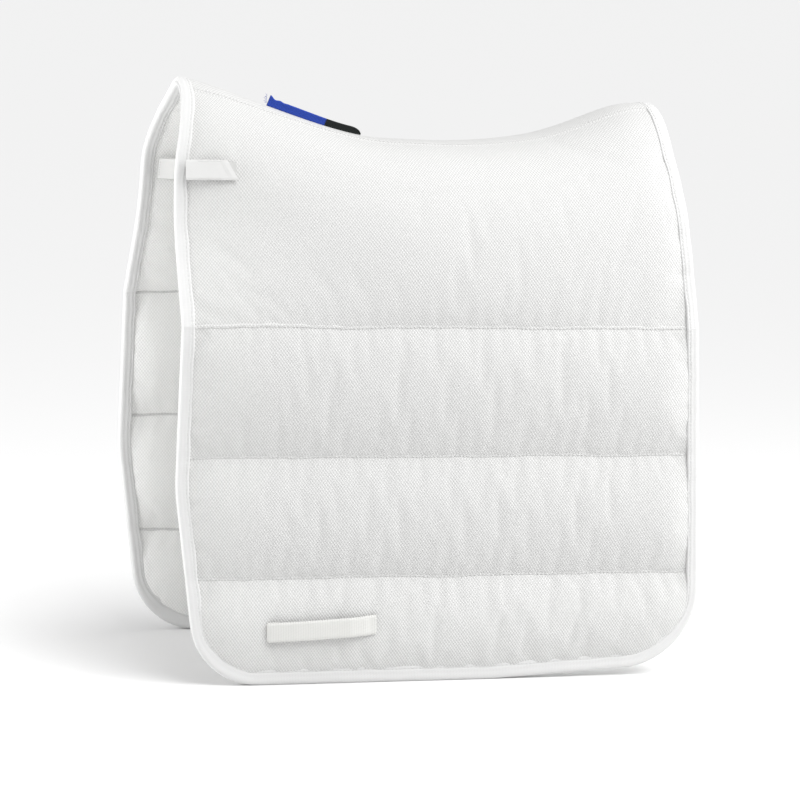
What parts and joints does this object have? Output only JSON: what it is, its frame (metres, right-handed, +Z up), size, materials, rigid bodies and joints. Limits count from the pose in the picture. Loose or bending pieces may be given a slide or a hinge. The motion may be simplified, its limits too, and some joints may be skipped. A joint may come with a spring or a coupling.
{
  "type": "saddle pad",
  "caption": "Quilted dressage saddle pad with an arched contoured top panel, channelled flaps hinged at their quilt seams, bound edges, girth keepers and front ring straps.",
  "frame": {"origin": "underside of the spine at mid-length, where the pad sits on the horse's back", "axes": "+X along the spine towards the tail, -Y the horse's left side, +Z up"},
  "size_m": [0.5571, 0.2764, 0.5939],
  "materials": {
    "spacer_mesh": "matte white spacer mesh with a fine diamond cell pattern",
    "wadding": "soft white wadding",
    "lining_mesh": "matte off-white mesh lining",
    "binding_tape": "smooth white woven tape",
    "webbing": "cream-white ribbed webbing",
    "satin_tape": "smooth satin tape",
    "touch_fastener": "white hook and loop",
    "blue_tape": "royal blue woven tape",
    "black_tape": "black woven tape"
  },
  "bodies": {
    "top_arch": {"left_top_cover": "spacer_mesh", "left_top_foam": "wadding", "left_top_lining": "lining_mesh", "right_top_cover": "spacer_mesh", "right_top_foam": "wadding", "right_top_lining": "lining_mesh", "spine_strip": "binding_tape", "front_arch_binding": "binding_tape", "rear_arch_binding": "binding_tape", "left_loop_patch": "touch_fastener", "right_loop_patch": "touch_fastener", "care_label": "satin_tape"},
    "left_upper_channel": {"left_upper_cover": "spacer_mesh", "left_upper_foam": "wadding", "left_upper_lining": "lining_mesh", "left_upper_front_binding": "binding_tape", "left_upper_rear_binding": "binding_tape"},
    "left_middle_channel": {"left_middle_cover": "spacer_mesh", "left_middle_foam": "wadding", "left_middle_lining": "lining_mesh", "left_middle_front_binding": "binding_tape", "left_middle_rear_binding": "binding_tape"},
    "left_lower_channel": {"left_lower_cover": "spacer_mesh", "left_lower_foam": "wadding", "left_lower_lining": "lining_mesh", "left_lower_binding": "binding_tape", "left_girth_strap": "webbing"},
    "left_d_ring_strap": {"left_d_ring_strap": "satin_tape", "left_hook_patch": "touch_fastener"},
    "right_upper_channel": {"right_upper_cover": "spacer_mesh", "right_upper_foam": "wadding", "right_upper_lining": "lining_mesh", "right_upper_front_binding": "binding_tape", "right_upper_rear_binding": "binding_tape"},
    "right_middle_channel": {"right_middle_cover": "spacer_mesh", "right_middle_foam": "wadding", "right_middle_lining": "lining_mesh", "right_middle_front_binding": "binding_tape", "right_middle_rear_binding": "binding_tape"},
    "right_lower_channel": {"right_lower_cover": "spacer_mesh", "right_lower_foam": "wadding", "right_lower_lining": "lining_mesh", "right_lower_binding": "binding_tape", "right_girth_strap": "webbing"},
    "right_d_ring_strap": {"right_d_ring_strap": "satin_tape", "right_hook_patch": "touch_fastener"},
    "wither_tab": {"wither_tab_blue": "blue_tape", "wither_tab_black": "black_tape"}
  },
  "joints": [
    {"name": "left_upper_seam_bend", "type": "hinge", "parent": "top_arch", "child": "left_upper_channel", "pos_m": [0, -0.121, -0.163], "axis": [-1, 0, 0], "range_deg": [-8, 55]},
    {"name": "left_middle_seam_bend", "type": "hinge", "parent": "left_upper_channel", "child": "left_middle_channel", "pos_m": [0, -0.121, -0.293], "axis": [-1, 0, 0], "range_deg": [-8, 25]},
    {"name": "left_lower_seam_bend", "type": "hinge", "parent": "left_middle_channel", "child": "left_lower_channel", "pos_m": [0, -0.121, -0.415], "axis": [-1, 0, 0], "range_deg": [-8, 25]},
    {"name": "right_upper_seam_bend", "type": "hinge", "parent": "top_arch", "child": "right_upper_channel", "pos_m": [0, 0.121, -0.163], "axis": [1, 0, 0], "range_deg": [-8, 55]},
    {"name": "right_middle_seam_bend", "type": "hinge", "parent": "right_upper_channel", "child": "right_middle_channel", "pos_m": [0, 0.121, -0.293], "axis": [1, 0, 0], "range_deg": [-8, 25]},
    {"name": "right_lower_seam_bend", "type": "hinge", "parent": "right_middle_channel", "child": "right_lower_channel", "pos_m": [0, 0.121, -0.415], "axis": [1, 0, 0], "range_deg": [-8, 25]},
    {"name": "left_d_ring_strap_open", "type": "hinge", "parent": "top_arch", "child": "left_d_ring_strap", "pos_m": [-0.262, -0.0767, -0.015], "axis": [0, -0.2164, -0.9763], "range_deg": [0, 150]},
    {"name": "right_d_ring_strap_open", "type": "hinge", "parent": "top_arch", "child": "right_d_ring_strap", "pos_m": [-0.262, 0.0767, -0.015], "axis": [0, -0.2164, 0.9763], "range_deg": [0, 150]},
    {"name": "wither_tab_bend", "type": "hinge", "parent": "top_arch", "child": "wither_tab", "pos_m": [-0.1675, 0, 0.04475], "axis": [0.9626, 0, -0.2709], "range_deg": [-50, 50], "stiffness_Nm_per_rad": 0.002}
  ]
}
